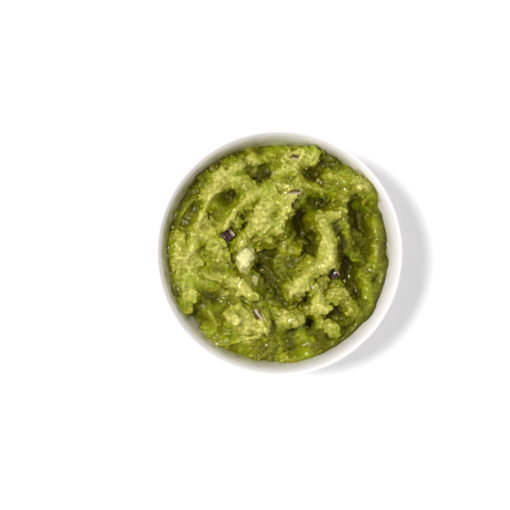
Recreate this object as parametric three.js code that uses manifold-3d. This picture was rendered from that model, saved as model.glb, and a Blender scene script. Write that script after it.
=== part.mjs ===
// Guacamole heaped in a small round porcelain bowl, with chunks of avocado and pieces of red onion.
// Millimetres, +Z up. The origin is the middle of the bowl's foot, on the surface that the bowl stands on.
import * as THREE from "three";
import { mergeVertices } from "three/addons/utils/BufferGeometryUtils.js";
import Module from "manifold-3d";

const wasm = await Module();
wasm.setup();

// Driving sizes of the bowl.
const RIM_RADIUS = 60;
const BOWL_HEIGHT = 42;
const LIP_THICKNESS = 3.2;
const WALL_LEAN = THREE.MathUtils.degToRad(18); // of the wall below the lip, from the vertical
const FOOT_RADIUS = 29.5;
const FOOT_WIDTH = 3.5;
const FOOT_HEIGHT = 3;
const FOOT_CHAMFER = 0.5; // of the foot ring's lower edges
const FOOT_FILLET = 1.2; // between the foot ring and the wall
const BASE_SAG = 0.5; // by which the base hangs down inside the foot ring
const FLOOR_HEIGHT = 7;
const FLOOR_RADIUS = 20;
const BOWL_SEGMENTS = 48;

// Driving sizes of the heap.
const EDGE_BELOW_RIM = 11.5; // how far below the lip the guacamole meets the wall on the +Y and -Y sides
const MIDDLE_RISE = 3; // by which it lies higher along the X axis, under the folds
const HEAP_SLOPE = 0.055; // by which it lies lower towards +X
const GAP = 0.3; // between pieces that touch
const HEAP_RINGS = 22;
const BED_RINGS = 3; // of faces on the wall under the heap

const EDGE_HEIGHT = BOWL_HEIGHT - EDGE_BELOW_RIM;

const COLOURS = {
  porcelain: { color: 0xf2eeea, roughness: 0.25, metalness: 0 },
  guacamole: { color: 0x9a9c35, roughness: 0.4, metalness: 0 },
  avocado: { color: 0xd6d47c, roughness: 0.35, metalness: 0 },
  red_onion: { color: 0x5a2c40, roughness: 0.3, metalness: 0 },
};

// Spoon folds and dollops. Each lies along its path, x then y seen from above; crest is the height of
// its top over the lip, and half its half width.
const FOLDS = [
  { path: [[-8, 12], [-6, 20], [-1, 28], [6, 27]], crest: 4.4, half: 7.5 }, // main crest
  { path: [[4, 24], [1.5, 17], [0.5, 11]], crest: 3.0, half: 4 }, // its tongue, hanging towards the middle
  { path: [[-26, 13], [-20, 21], [-10, 30], [-3, 34]], crest: 0.8, half: 4.5 }, // smooth band beside it
  { path: [[-18, 4], [-14, 10]], crest: 0.2, half: 5 },
  { path: [[15, 17], [21, 15], [23.5, 8], [24, -4]], crest: 2.2, half: 5 }, // second crest
  { path: [[23, -4], [17, -8], [11, -13], [7, -18]], crest: -0.4, half: 6 }, // its curl
  { path: [[25, 20], [30, 18]], crest: -0.6, half: 4 },
  { path: [[10, 35], [17, 32], [22, 30], [32, 27]], crest: -0.8, half: 3.6 },
  { path: [[27, 36], [34, 34], [43, 31]], crest: -0.6, half: 7 }, // mass against the far wall
  { path: [[31, 14], [34, 8], [33, 1]], crest: -2.8, half: 4 },
  { path: [[-1, 37], [3, 41], [9, 40]], crest: -1.6, half: 4.5 },
  { path: [[-18, 34], [-12, 30]], crest: -0.6, half: 5 },
  { path: [[-36, 28], [-30, 36], [-20, 42]], crest: -3.0, half: 6.5 },
  { path: [[-42, 1], [-40, 11], [-36, 21], [-31, 29]], crest: -2.4, half: 3.6 }, // long sweep of the spoon
  { path: [[-35, 12], [-31, 4], [-29, -6]], crest: -2.2, half: 6.5 },
  { path: [[-48, 8], [-46, -1], [-43, -9]], crest: -5.4, half: 5 },
  { path: [[-44, -14], [-46, -24]], crest: -6.4, half: 4 },
  { path: [[-34, -12], [-24, -12]], crest: -3.8, half: 4.5 },
  { path: [[-20, -14], [-14, -20]], crest: -2.4, half: 6 },
  { path: [[-21, -31], [-9, -33]], crest: -2.2, half: 7.5 },
  { path: [[-36, -26], [-30, -37]], crest: -5.8, half: 4 },
  { path: [[2, -31], [10, -31]], crest: -3.4, half: 4.5 },
  { path: [[18, -17], [21, -24], [18, -29]], crest: -3.4, half: 5.5 },
  { path: [[28, -20], [35, -24], [38, -28]], crest: -3.8, half: 5 },
  { path: [[40, -10], [44, -16], [43, -24]], crest: -6.0, half: 4.5 },
  { path: [[-14, 46], [-3, 47]], crest: -5.6, half: 5 },
  { path: [[4, 46], [16, 46]], crest: -4.2, half: 5 },
  { path: [[46, 16], [48, 4], [47, -6]], crest: -6.4, half: 4.5 },
  { path: [[-24, -44], [-9, -41]], crest: -5.4, half: 4.5 },
  { path: [[22, -35], [28, -36]], crest: -5.0, half: 4.5 },
  { path: [[10, -43], [20, -43]], crest: -8.0, half: 4.5 },
  { path: [[17, 49], [26, 45], [33, 41]], crest: -6.6, half: 4.5 }, // along the wall
];

// Hollows between the folds: path, depth, and half width.
const HOLLOWS = [
  { path: [[10, 20], [12, 10]], depth: 6, half: 4 },
  { path: [[-5, -3], [-4, -18]], depth: 3, half: 6 },
  { path: [[-10, 37], [-6, 37]], depth: 6, half: 4 },
  { path: [[17, 25], [21, 23]], depth: 4, half: 3.5 },
  { path: [[37, 23], [39, 10]], depth: 6, half: 4 },
  { path: [[32, 2], [34, -12]], depth: 5, half: 4 },
  { path: [[15, -34], [16, -33]], depth: 4, half: 3 },
  { path: [[-25, 27], [-28, 26]], depth: 4, half: 3 },
  { path: [[23, 44], [29, 41]], depth: 3, half: 3 },
  { path: [[-34, -19], [-26, -24]], depth: 3, half: 5 },
  { path: [[-41, -31], [-38, -35]], depth: 7, half: 4 },
];

// Chunks of avocado that stay whole in the mash: place, three radii, turn about Z and tilt, in degrees.
// sink is how far the middle lies below the surface of the mash.
const CHUNKS = [
  { at: [-16.2, -3.4], radii: [6.4, 3.6, 3.4], turn: 72, tilt: 8, sink: 0.2 },
  { at: [-43.2, -20.8], radii: [6.2, 2.8, 3.0], turn: 72, tilt: -6, sink: 0.4 },
  { at: [6, -32.5], radii: [6.6, 4.0, 3.4], turn: 12, tilt: 0, sink: 1.2 },
  { at: [29.5, -20.5], radii: [5.4, 4.0, 3.4], turn: -25, tilt: 10, sink: 0.9 },
  { at: [25.6, -36], radii: [4.6, 3.4, 3.2], turn: -35, tilt: 8, sink: 0.7 },
  { at: [44.6, -11.2], radii: [4.6, 2.4, 2.6], turn: 36, tilt: 0, sink: 0.6 },
  { at: [-16.5, 33], radii: [5.6, 4.2, 3.6], turn: -10, tilt: 0, sink: 1.1 },
];

// Pieces of red onion: place, length, width and thickness, turn about Z, tilt and roll, in degrees.
const ONIONS = [
  { at: [-24.8, 8.6], size: [5.8, 5.0, 2.6], turn: 39, tilt: 14, roll: 0, sink: 0.1 },
  { at: [27.2, -10.4], size: [4.2, 4.0, 2.4], turn: 38, tilt: -8, roll: 0, sink: -0.2 },
  { at: [-10.4, -30.6], size: [6.2, 3.4, 1.2], turn: -54, tilt: 0, roll: 62, sink: 0.9 },
  { at: [9.2, 46.6], size: [4.6, 2.8, 1.2], turn: -8, tilt: 0, roll: -60, sink: 0.5 },
  { at: [7.6, 29.6], size: [5.4, 3.0, 1.2], turn: 2, tilt: 0, roll: -58, sink: 1.0 },
  { at: [-11.8, -14.4], size: [6.2, 3.0, 1.3], turn: 76, tilt: 0, roll: 24, sink: 0.2 },
  { at: [-6.2, -36], size: [4.6, 3.2, 1.4], turn: 32, tilt: -10, roll: 20, sink: 0.2 },
];

const material = (name) => Object.assign(new THREE.MeshStandardMaterial(COLOURS[name]), { name });

const point = (radius, height) => new THREE.Vector2(radius, height);

// The middle of the lip's round, and its two tangent points on the wall's faces.
const LIP_RADIUS = LIP_THICKNESS / 2;
const lipMiddle = point(RIM_RADIUS - LIP_RADIUS, BOWL_HEIGHT - LIP_RADIUS);
const wallOut = point(Math.cos(WALL_LEAN), -Math.sin(WALL_LEAN)); // square to the wall, outwards
const wallDown = point(-Math.sin(WALL_LEAN), -Math.cos(WALL_LEAN)); // along the wall, downwards
const lipOuter = lipMiddle.clone().addScaledVector(wallOut, LIP_RADIUS);
const lipInner = lipMiddle.clone().addScaledVector(wallOut, -LIP_RADIUS);

// The wall's two faces, from below upwards on the outside and from the lip downwards on the inside.
const STRAIGHT_OF_WALL = 17; // how much of the wall below the lip keeps its lean
const OUTER_BELLY_RADIUS = 46; // out to where each face runs nearly level before it turns up
const INNER_BELLY_RADIUS = 43;
const outerFace = new THREE.CubicBezierCurve(
  point(FOOT_RADIUS + FOOT_FILLET, FOOT_HEIGHT),
  point(OUTER_BELLY_RADIUS, FOOT_HEIGHT + 1.5),
  lipOuter.clone().addScaledVector(wallDown, STRAIGHT_OF_WALL),
  lipOuter,
);
const innerFace = new THREE.CubicBezierCurve(
  lipInner,
  lipInner.clone().addScaledVector(wallDown, STRAIGHT_OF_WALL),
  point(INNER_BELLY_RADIUS, FLOOR_HEIGHT),
  point(FLOOR_RADIUS, FLOOR_HEIGHT),
);

function bowlGeometry() {
  const footInner = FOOT_RADIUS - FOOT_WIDTH;
  const recess = FOOT_HEIGHT - BASE_SAG;
  const profile = [
    point(0, recess),
    point(footInner - FOOT_FILLET, recess),
    point(footInner, FOOT_CHAMFER),
    point(footInner + FOOT_CHAMFER, 0),
    point(FOOT_RADIUS - FOOT_CHAMFER, 0),
    point(FOOT_RADIUS, FOOT_CHAMFER),
    ...outerFace.getPoints(7),
  ];
  for (let degrees = 0; degrees <= 150; degrees += 30) {
    const turn = THREE.MathUtils.degToRad(degrees);
    profile.push(lipMiddle.clone().add(point(Math.cos(turn), Math.sin(turn)).multiplyScalar(LIP_RADIUS)));
  }
  profile.push(...innerFace.getPoints(12), point(0, FLOOR_HEIGHT));
  return new THREE.LatheGeometry(profile, BOWL_SEGMENTS).rotateX(Math.PI / 2);
}

// The inner face as a fine list of points from the lip to the floor, and its radius at a height.
const innerPoints = innerFace.getPoints(200);

function innerRadius(height) {
  const i = innerPoints.findIndex((p) => p.y <= height);
  if (i < 1) return innerPoints[i < 0 ? innerPoints.length - 1 : 0].x;
  const [above, below] = [innerPoints[i - 1], innerPoints[i]];
  return THREE.MathUtils.mapLinear(height, above.y, below.y, above.x, below.x);
}

// The shortest distance, seen from above, from a place to a path of straight stretches.
function distanceTo(path, x, y) {
  let nearest = Infinity;
  for (let i = 1; i < path.length; i++) {
    const [ax, ay] = path[i - 1];
    const [dx, dy] = [path[i][0] - ax, path[i][1] - ay];
    const share = THREE.MathUtils.clamp(((x - ax) * dx + (y - ay) * dy) / (dx * dx + dy * dy), 0, 1);
    nearest = Math.min(nearest, Math.hypot(x - ax - share * dx, y - ay - share * dy));
  }
  return nearest;
}

function smoothMax(a, b, reach) {
  const near = Math.max(reach - Math.abs(a - b), 0) / reach;
  return Math.max(a, b) + (near * near * reach) / 4;
}

const FOLD_DEPTH = 8; // how far a fold's side has dropped at its half width
const FOLD_BLEND = 1.6;
const RIPPLE = 0.6;

// The height of the guacamole's surface. A ripple keeps the folds from looking drawn with a compass.
function surfaceHeight(x, y) {
  const across = Math.sin(0.42 * x + 1.3 * Math.sin(0.27 * y));
  const along = Math.cos(0.37 * y - 0.8 * Math.sin(0.31 * x));
  let height = EDGE_HEIGHT - HEAP_SLOPE * x + MIDDLE_RISE * (1 - (y / RIM_RADIUS) ** 2);
  for (const { path, crest, half } of FOLDS) {
    const side = distanceTo(path, x, y) / half;
    height = smoothMax(height, BOWL_HEIGHT + crest - FOLD_DEPTH * side * side, FOLD_BLEND);
  }
  for (const { path, depth, half } of HOLLOWS) {
    const side = distanceTo(path, x, y) / half;
    height -= depth * Math.exp(-side * side);
  }
  return height + RIPPLE * across * along;
}

const HIGHEST_EDGE = BOWL_HEIGHT - 1; // just under the lip's round

// Where the surface meets the wall in one direction: the radius and height of that place.
function edgeAt(angle) {
  let radius = innerRadius(EDGE_HEIGHT);
  let height = EDGE_HEIGHT;
  for (let i = 0; i < 8; i++) {
    height = Math.min(surfaceHeight(radius * Math.cos(angle), radius * Math.sin(angle)), HIGHEST_EDGE);
    radius = innerRadius(height) - GAP;
  }
  return { radius, height };
}

// One closed body: rings of vertices from the middle of the surface out to the wall, each ring with
// six more than the last, then rings of the same count down the wall to the middle of the floor.
function heapGeometry() {
  const places = [];
  const faces = [];
  const ringStart = (i) => (i === 0 ? 0 : 1 + 3 * i * (i - 1));
  places.push(0, 0, surfaceHeight(0, 0));
  for (let i = 1; i <= HEAP_RINGS; i++) {
    for (let k = 0; k < 6 * i; k++) {
      const angle = (2 * Math.PI * k) / (6 * i);
      const edge = edgeAt(angle);
      const radius = (edge.radius * i) / HEAP_RINGS;
      const [x, y] = [radius * Math.cos(angle), radius * Math.sin(angle)];
      places.push(x, y, i === HEAP_RINGS ? edge.height : surfaceHeight(x, y));
    }
  }
  for (let i = 0; i < HEAP_RINGS; i++) {
    const [inner, outer] = [ringStart(i), ringStart(i + 1)];
    const [innerCount, outerCount] = [Math.max(6 * i, 1), 6 * (i + 1)];
    for (let sector = 0; sector < 6; sector++) {
      for (let k = 0; k <= i; k++) {
        const out = sector * (i + 1) + k;
        const ahead = outer + ((out + 1) % outerCount);
        const here = inner + ((sector * i + k) % innerCount);
        faces.push(here, outer + (out % outerCount), ahead);
        if (k < i) faces.push(here, ahead, inner + ((sector * i + k + 1) % innerCount));
      }
    }
  }
  const count = 6 * HEAP_RINGS;
  let above = ringStart(HEAP_RINGS);
  for (let i = 1; i <= BED_RINGS; i++) {
    const ring = places.length / 3;
    for (let k = 0; k < count; k++) {
      const angle = (2 * Math.PI * k) / count;
      const start = innerPoints.findIndex((p) => p.y <= edgeAt(angle).height);
      const at = Math.round(THREE.MathUtils.mapLinear(i, 0, BED_RINGS, start, innerPoints.length - 1));
      const bed = innerPoints[at];
      places.push((bed.x - GAP) * Math.cos(angle), (bed.x - GAP) * Math.sin(angle), bed.y + GAP);
    }
    for (let k = 0; k < count; k++) {
      const next = (k + 1) % count;
      faces.push(above + k, ring + k, ring + next, above + k, ring + next, above + next);
    }
    above = ring;
  }
  places.push(0, 0, FLOOR_HEIGHT + GAP);
  for (let k = 0; k < count; k++) faces.push(places.length / 3 - 1, above + ((k + 1) % count), above + k);
  const geometry = new THREE.BufferGeometry();
  geometry.setAttribute("position", new THREE.Float32BufferAttribute(places, 3));
  geometry.setIndex(faces);
  return geometry;
}

// Where a chunk or an onion piece lies: its middle, sunk below the surface, and its turn.
function placement({ at, turn, tilt, roll = 0, sink }) {
  const degrees = [roll, tilt, turn].map(THREE.MathUtils.degToRad);
  const position = new THREE.Vector3(at[0], at[1], surfaceHeight(at[0], at[1]) - sink);
  return { position, rotation: new THREE.Euler(...degrees, "ZYX") };
}

// A broken chunk: a ball drawn out towards a block, with dents that differ from chunk to chunk.
function chunkGeometry({ at, radii }, grow) {
  const BLOCKINESS = 0.35;
  const DENT = 0.14;
  const geometry = new THREE.IcosahedronGeometry(1, 1);
  const corners = geometry.attributes.position;
  const place = new THREE.Vector3();
  for (let i = 0; i < corners.count; i++) {
    place.fromBufferAttribute(corners, i).normalize();
    const longest = Math.max(Math.abs(place.x), Math.abs(place.y), Math.abs(place.z));
    const sideways = Math.sin(3.1 * place.x + at[0]) * Math.cos(2.7 * place.y + at[1]);
    const dent = (DENT * (sideways + Math.sin(2.3 * place.z + at[0]))) / 2;
    place.multiplyScalar(THREE.MathUtils.lerp(1, 0.8 / longest, BLOCKINESS) * (1 + dent));
    corners.setXYZ(i, ...radii.map((radius, axis) => place.getComponent(axis) * (radius + grow)));
  }
  return geometry;
}

// A cut piece of onion layer: an arched slab, as the layer is part of a ball, with eased edges.
function onionGeometry({ size }, grow) {
  const LAYER_RADIUS = 14;
  const EASE = 0.3;
  const [length, width, thickness] = size.map((side) => side + 2 * grow - 2 * EASE);
  const [inner, outer] = [LAYER_RADIUS - thickness / 2, LAYER_RADIUS + thickness / 2];
  const half = length / LAYER_RADIUS / 2;
  const outline = new THREE.Shape();
  outline.absarc(0, -LAYER_RADIUS, outer, Math.PI / 2 - half, Math.PI / 2 + half, false);
  outline.absarc(0, -LAYER_RADIUS, inner, Math.PI / 2 + half, Math.PI / 2 - half, true);
  const bevel = { bevelSize: EASE, bevelThickness: EASE, bevelSegments: 1 };
  const slab = new THREE.ExtrudeGeometry(outline, { depth: width, curveSegments: 3, ...bevel });
  return slab.translate(0, 0, -width / 2).rotateX(Math.PI / 2);
}

function solidOf(geometry) {
  const bare = geometry.index ? geometry.toNonIndexed() : geometry.clone();
  for (const name of ["normal", "uv"]) bare.deleteAttribute(name);
  const merged = mergeVertices(bare, 1e-4);
  const mesh = { numProp: 3, vertProperties: merged.attributes.position.array };
  return new wasm.Manifold(new wasm.Mesh({ ...mesh, triVerts: new Uint32Array(merged.index.array) }));
}

function geometryOf(solid) {
  const { vertProperties, triVerts } = solid.getMesh();
  const geometry = new THREE.BufferGeometry();
  geometry.setAttribute("position", new THREE.BufferAttribute(vertProperties, 3));
  geometry.setIndex(new THREE.BufferAttribute(triVerts, 1));
  return geometry;
}

function placed(name, geometry, materialName, { position, rotation } = {}) {
  const mesh = new THREE.Mesh(geometry, material(materialName));
  mesh.name = name;
  if (position) mesh.position.copy(position);
  if (rotation) mesh.rotation.copy(rotation);
  return mesh;
}

const bowlWithGuacamole = new THREE.Group();
bowlWithGuacamole.add(placed("bowl", bowlGeometry(), "porcelain"));

// Each chunk and onion piece sits in a pocket of the mash that is larger by the gap all round.
let mash = solidOf(heapGeometry());
for (const [kind, pieces, shape, colour] of [
  ["avocado_chunk", CHUNKS, chunkGeometry, "avocado"],
  ["onion_piece", ONIONS, onionGeometry, "red_onion"],
]) {
  pieces.forEach((piece, i) => {
    const where = placement(piece);
    const mesh = placed(`${kind}_${i + 1}`, shape(piece, 0), colour, where);
    mesh.updateMatrix();
    mash = mash.subtract(solidOf(shape(piece, GAP).applyMatrix4(mesh.matrix)));
    bowlWithGuacamole.add(mesh);
  });
}
const [body] = mash.decompose().sort((a, b) => b.volume() - a.volume());
bowlWithGuacamole.add(placed("guacamole", geometryOf(body), "guacamole"));

export default bowlWithGuacamole;
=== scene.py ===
import math

import bpy
import numpy as np
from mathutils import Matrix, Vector
from mathutils.bvhtree import BVHTree


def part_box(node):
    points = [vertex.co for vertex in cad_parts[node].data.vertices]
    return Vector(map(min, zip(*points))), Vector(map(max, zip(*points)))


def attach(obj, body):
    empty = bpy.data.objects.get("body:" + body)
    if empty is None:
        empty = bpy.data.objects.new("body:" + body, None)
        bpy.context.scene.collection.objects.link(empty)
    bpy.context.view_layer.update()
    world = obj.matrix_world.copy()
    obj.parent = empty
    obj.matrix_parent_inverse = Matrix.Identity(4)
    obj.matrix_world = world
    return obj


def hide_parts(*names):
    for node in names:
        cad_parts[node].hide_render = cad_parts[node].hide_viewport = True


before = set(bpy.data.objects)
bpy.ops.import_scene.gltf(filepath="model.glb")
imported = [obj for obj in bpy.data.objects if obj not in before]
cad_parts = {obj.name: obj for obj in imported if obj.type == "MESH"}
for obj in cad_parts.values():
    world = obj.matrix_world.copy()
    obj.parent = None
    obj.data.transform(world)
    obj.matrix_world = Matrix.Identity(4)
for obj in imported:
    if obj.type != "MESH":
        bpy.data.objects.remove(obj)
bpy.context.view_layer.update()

# Guacamole heaped in a small round porcelain bowl. Lengths here are in millimetres and MM turns them into
# metres. X and Y are seen from above, and Z starts at the surface that the bowl stands on.
MM = 0.001
low, high = (np.array(corner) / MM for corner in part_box("bowl"))
RIM_RADIUS = (high[0] - low[0]) / 2
RIM_HEIGHT = high[2]
CHUNK_NODES = sorted(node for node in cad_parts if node.startswith("avocado_chunk"))
ONION_NODES = sorted(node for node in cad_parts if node.startswith("onion_piece"))


# ---- The bowl's profile: radius and height, from the middle of the foot round the outside to the floor.
LIP_RADIUS = 1.6
LIP_CREST = 0.75  # by which the lip's highest line lies outside its middle
FLARE_ROWS = 7  # of the inner face, which the lip's flare takes the place of
WALL_LEAN = math.radians(18)
STRAIGHT_OF_WALL = 17.0
BELLY_RADIUS = 46.0
BELLY_RISE = 1.5  # above the foot
FOOT_RADIUS = 29.5
FOOT_WIDTH = 3.5
FOOT_HEIGHT = 3.0
FOOT_EDGE = 0.8
FOOT_FILLET = 1.2
UNDERSIDE_HEIGHT = 2.4
FLOOR_HEIGHT = 7.0
FLOOR_RADIUS = 20.0
FLOOR_BEND = 43.0

lip_middle = np.array([RIM_RADIUS - LIP_RADIUS, RIM_HEIGHT - LIP_RADIUS])
wall_out = np.array([math.cos(WALL_LEAN), -math.sin(WALL_LEAN)])
wall_down = np.array([-math.sin(WALL_LEAN), -math.cos(WALL_LEAN)])


def bezier(*ends, count):
    """Points along a cubic curve from the first of four places to the last, bent towards the others."""
    p0, p1, p2, p3 = map(np.array, ends)
    t = np.linspace(0, 1, count)[:, None]
    s = 1 - t
    return s**3 * p0 + 3 * s * s * t * p1 + 3 * s * t * t * p2 + t**3 * p3


def arc(middle, radius, start, end, count):
    """Points along a round corner between two angles in degrees."""
    turn = np.radians(np.linspace(start, end, count))
    return np.array(middle) + radius * np.column_stack([np.cos(turn), np.sin(turn)])


lip_outer = lip_middle + LIP_RADIUS * wall_out
lip_inner = lip_middle - LIP_RADIUS * wall_out
inner_face = bezier(lip_inner, lip_inner + STRAIGHT_OF_WALL * wall_down,
                    (FLOOR_BEND, FLOOR_HEIGHT), (FLOOR_RADIUS, FLOOR_HEIGHT), count=60)
outer_face = bezier((FOOT_RADIUS + FOOT_FILLET, FOOT_HEIGHT), (BELLY_RADIUS, FOOT_HEIGHT + BELLY_RISE),
                    lip_outer + STRAIGHT_OF_WALL * wall_down, lip_outer, count=48)


def inner_radius(height):
    """The radius of the bowl's inner face at a height."""
    return np.interp(height, inner_face[::-1, 1], inner_face[::-1, 0])


# ---- Fields: numbers on a grid of points, about the distance to a surface, and below zero inside it.
NOISE_GAIN = 2.4  # which brings the smoothed noise back to about -1 to 1
rng = np.random.default_rng(7)


def reseed(seed):
    """Starts the random numbers again, so that one part's shape doesn't hang on another's."""
    global rng
    rng = np.random.default_rng(seed)


def knots(points, spacing, count):
    """Weights that turn values at `count` knots, `spacing` apart, into values at the grid's points."""
    at = np.arange(points) / spacing
    cell = at.astype(int)
    t = at - cell
    weights = np.zeros((points, count), np.float32)
    rows = np.arange(points)
    basis = [(1 - t) ** 3 / 6, (3 * t**3 - 6 * t**2 + 4) / 6,
             (-3 * t**3 + 3 * t**2 + 3 * t + 1) / 6, t**3 / 6]
    for k, part in enumerate(basis):
        weights[rows, cell + k] += part
    return weights


def smooth_noise(shape, spacing):
    """Even noise of about -1 to 1 on a grid, with bumps about twice `spacing` grid steps apart."""
    counts = [int(n / spacing) + 5 for n in shape]
    values = rng.uniform(-1, 1, counts).astype(np.float32)
    for axis, (points, count) in enumerate(zip(shape, counts)):
        values = np.moveaxis(np.tensordot(knots(points, spacing, count), values, (1, axis)), 0, axis)
    return values * NOISE_GAIN


def box_blur(values, reach):
    """The mean over a box that reaches `reach` steps each way, in every direction of the grid."""
    for axis in range(values.ndim):
        margins = [(reach + 1, reach) if a == axis else (0, 0) for a in range(values.ndim)]
        padded = np.pad(values, margins, "edge")
        sums = np.cumsum(padded, axis=axis, dtype=np.float64)
        n = values.shape[axis]
        ahead = np.take(sums, range(2 * reach + 1, n + 2 * reach + 1), axis)
        behind = np.take(sums, range(0, n), axis)
        values = ((ahead - behind) / (2 * reach + 1)).astype(np.float32)
    return values


def smooth_union(old, shape, blend):
    """The field of two solids together, rounded over a depth of `blend` where they meet."""
    share = np.clip(0.5 + 0.5 * (old - shape) / blend, 0, 1)
    return old + (shape - old) * share - blend * share * (1 - share)


def along_axes(away, axes):
    """How far places lie along each row of axes, from how far they lie along X, Y and Z."""
    return [sum(axis[a] * away[a] for a in range(3)) for axis in axes]


BALL_MARGIN = 1.5


class Field:
    """A grid of points with the field's value at each, and where each point is once the grid is warped."""

    def __init__(self, corner, opposite, step, warp, warp_size):
        self.corner = np.array(corner, float)
        self.step = step
        self.shape = tuple(int(n) for n in np.ceil((np.array(opposite) - self.corner) / step) + 1)
        axes = [self.corner[a] + step * np.arange(self.shape[a]) for a in range(3)]
        self.places = []
        for a in range(3):
            line = axes[a].reshape([-1 if b == a else 1 for b in range(3)]).astype(np.float32)
            self.places.append(line + warp * smooth_noise(self.shape, warp_size / step))
        self.axes = axes
        self.value = None

    def window(self, low, high):
        """The part of the grid between two corners."""
        first = np.maximum(np.floor((np.array(low) - self.corner) / self.step).astype(int), 0)
        last = np.minimum(np.ceil((np.array(high) - self.corner) / self.step).astype(int) + 1, self.shape)
        return tuple(slice(a, b) for a, b in zip(first, last))

    def column(self, x, y):
        """Which of the grid's upright lines stands nearest to a place."""
        return (int(round((v - self.corner[0]) / self.step)) for v in (x, y))

    def add(self, part, shape, blend):
        """Joins a shape to the solid."""
        self.value[part] = smooth_union(self.value[part], shape, blend)

    def cut(self, part, shape, blend):
        """Takes a shape out of the solid."""
        self.value[part] = -smooth_union(-self.value[part], shape, blend)

    def ball(self, middle, radii, turn):
        """A turned ellipsoid: the part of the grid that it touches, and its field there."""
        reach = max(radii) + BALL_MARGIN
        part = self.window(np.array(middle) - reach, np.array(middle) + reach)
        away = along_axes([self.places[a][part] - middle[a] for a in range(3)], turn.T)
        near = np.sqrt(sum((d / r) ** 2 for d, r in zip(away, radii)))
        slope = np.sqrt(sum((d / r**2) ** 2 for d, r in zip(away, radii))) + 1e-6
        return part, near * (near - 1) / slope

    def at(self, points, values):
        """The values of this grid or another like it, at places between the grid's points."""
        spot = np.clip((points - self.corner) / self.step, 0, np.array(self.shape) - 1.001)
        cell = spot.astype(int)
        t = spot - cell
        total = np.zeros(len(points))
        for corner in np.ndindex(2, 2, 2):
            weight = np.prod([t[:, a] if corner[a] else 1 - t[:, a] for a in range(3)], axis=0)
            total += weight * values[cell[:, 0] + corner[0], cell[:, 1] + corner[1], cell[:, 2] + corner[2]]
        return total


def surface(field, keep=None):
    """Points and four-sided faces of a field's surface, only at the grid points that `keep` marks."""
    value, inside = field.value, field.value < 0
    cells = tuple(n - 1 for n in value.shape)
    view = [tuple(slice(o, o + n) for o, n in zip(offset, cells)) for offset in np.ndindex(2, 2, 2)]
    count = sum(inside[v].astype(np.int8) for v in view)
    active = (count > 0) & (count < 8)
    if keep is not None:
        active &= keep[tuple(slice(0, n) for n in cells)]
    number = np.full(cells, -1, np.int32)
    number[active] = np.arange(active.sum())
    corners = np.stack([value[v][active] for v in view], 1)
    offsets = np.array(list(np.ndindex(2, 2, 2)), float)
    total = np.zeros((len(corners), 3))
    crossings = np.zeros(len(corners))
    for a in range(8):
        for b in range(a + 1, 8):
            if np.abs(offsets[a] - offsets[b]).sum() != 1:
                continue
            crossed = (corners[:, a] < 0) != (corners[:, b] < 0)
            t = corners[crossed, a] / (corners[crossed, a] - corners[crossed, b])
            total[crossed] += offsets[a] + t[:, None] * (offsets[b] - offsets[a])
            crossings[crossed] += 1
    points = field.corner + field.step * (np.argwhere(active) + total / np.maximum(crossings, 1)[:, None])
    faces = []
    for axis in range(3):
        u, v = (axis + 1) % 3, (axis + 2) % 3
        first, second = (tuple(along if a == axis else slice(1, -1) for a in range(3))
                         for along in (slice(0, -1), slice(1, None)))
        crossed = np.argwhere(inside[first] != inside[second]) + [0 if a == axis else 1 for a in range(3)]
        leaving = inside[tuple(crossed.T)]
        around = []
        for du, dv in ((0, 0), (1, 0), (1, 1), (0, 1)):
            cell = crossed.copy()
            cell[:, u] -= du
            cell[:, v] -= dv
            around.append(number[tuple(cell.T)])
        quads = np.stack(around, 1)
        quads[~leaving] = quads[~leaving][:, ::-1]
        faces.append(quads[(quads >= 0).all(1)])
    return points, np.concatenate(faces)


def edges_of(faces):
    """The start and end of every side of four-sided faces."""
    return np.concatenate([faces[:, [a, (a + 1) % 4]] for a in range(4)])


def largest_piece(points, faces):
    """Drops every loose bit but the largest piece."""
    label = np.arange(len(points))
    edges = edges_of(faces)
    while True:
        lowest = label.copy()
        np.minimum.at(lowest, edges[:, 0], label[edges[:, 1]])
        np.minimum.at(lowest, edges[:, 1], label[edges[:, 0]])
        lowest = lowest[lowest]
        if np.array_equal(lowest, label):
            break
        label = lowest
    used = label[faces[:, 0]]
    faces = faces[used == np.bincount(used).argmax()]
    kept = np.unique(faces)
    renumber = np.full(len(points), -1)
    renumber[kept] = np.arange(len(kept))
    return points[kept], renumber[faces]


def closed_below(points, faces, tip):
    """Closes an open underside with a fan of triangles to one point."""
    # An edge is open where no other face runs along it the other way. Each way has its own number.
    ends = edges_of(faces).astype(np.int64)
    ahead, back = ends @ (len(points), 1), ends @ (1, len(points))
    rim = ends[~np.isin(ahead, back)]
    return np.concatenate([points, [tip]]), list(faces) + [[b, a, len(points)] for a, b in rim]


def make_piece(name, points, faces, slot, material, replaced=(), **layers):
    """A mesh object from points in millimetres, with a value of each named layer at every point."""
    mesh = bpy.data.meshes.new(name)
    mesh.from_pydata(np.asarray(points, np.float32) * MM, [], faces, shade_flat=False)
    mesh.validate()
    for layer, values in layers.items():
        attribute = mesh.attributes.new(layer, "FLOAT", "POINT")
        attribute.data.foreach_set("value", np.asarray(values, np.float32))
    mesh.materials.append(material)
    piece = bpy.data.objects.new(name, mesh)
    bpy.context.scene.collection.objects.link(piece)
    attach(piece, "root")
    if replaced:
        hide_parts(*replaced)
    return piece


def thin_out(piece, triangles):
    """Merges the points of a piece's flatter places until it has a number of triangles."""
    modifier = piece.modifiers.new("thin out", "DECIMATE")
    modifier.ratio = triangles / sum(len(face.vertices) - 2 for face in piece.data.polygons)
    thinned = piece.evaluated_get(bpy.context.evaluated_depsgraph_get())
    piece.data = bpy.data.meshes.new_from_object(thinned)
    piece.modifiers.clear()


def cad_points(name):
    """The corners of a CAD solid."""
    return np.array([v.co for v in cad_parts[name].data.vertices]) / MM


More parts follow.
